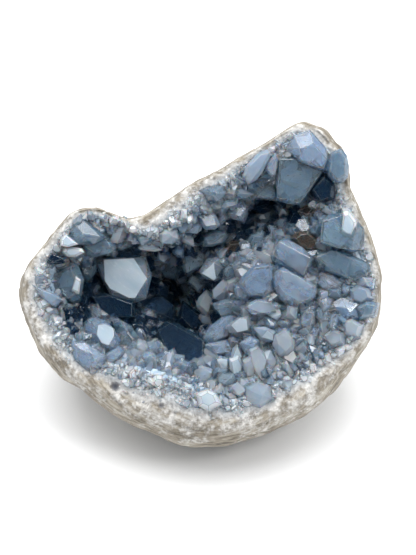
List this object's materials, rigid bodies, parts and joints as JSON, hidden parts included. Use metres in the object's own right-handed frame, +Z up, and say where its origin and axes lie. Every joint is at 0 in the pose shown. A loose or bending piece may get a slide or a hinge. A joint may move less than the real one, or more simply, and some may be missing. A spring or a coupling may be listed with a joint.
{
  "type": "celestite geode cluster",
  "caption": "Broken-open geode: a rounded rock shell that rests on a small flat, its hollow lined with blocky blue-grey crystals grown together into one crust.",
  "frame": {"origin": "on the surface that the geode rests on, under the middle of its bounding box", "axes": "+Z up, +X along the length of the geode to the right as the hollow is looked into, -Y to the front; the mouth of the hollow faces the front and is turned up by 45 degrees"},
  "size_m": [0.1524, 0.125, 0.113],
  "materials": {
    "rock": "matt beige-grey rind, granular broken rim",
    "celestite": "clear to milky blue-grey crystal with bright flat faces"
  },
  "bodies": {
    "root": {"rock_shell": "rock", "crystal_crust": "celestite"}
  },
  "joints": []
}
